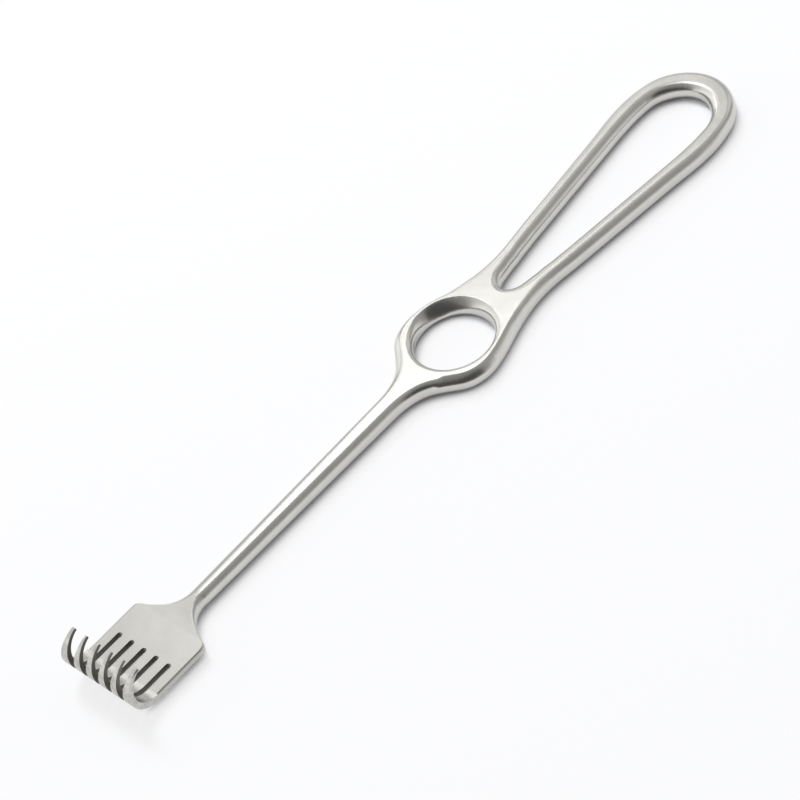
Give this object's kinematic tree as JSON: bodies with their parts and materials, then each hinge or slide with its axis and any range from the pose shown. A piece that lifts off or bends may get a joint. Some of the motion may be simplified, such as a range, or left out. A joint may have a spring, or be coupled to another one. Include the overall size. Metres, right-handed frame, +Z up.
{
  "type": "handheld surgical retractor",
  "caption": "Slim steel hand retractor with an open grip loop, a finger ring, a round shaft and a slotted plate with upturned prongs.",
  "frame": {"origin": "middle of the overall outline, on the ground that the handle's flat back lies on", "axes": "+X along the shaft from the prongs to the end of the grip loop, +Y across the handle, +Z up, the way the prongs point"},
  "size_m": [0.22, 0.0278, 0.0143],
  "materials": {
    "steel": "satin"
  },
  "bodies": {
    "root": {"retractor": "steel"}
  },
  "joints": []
}
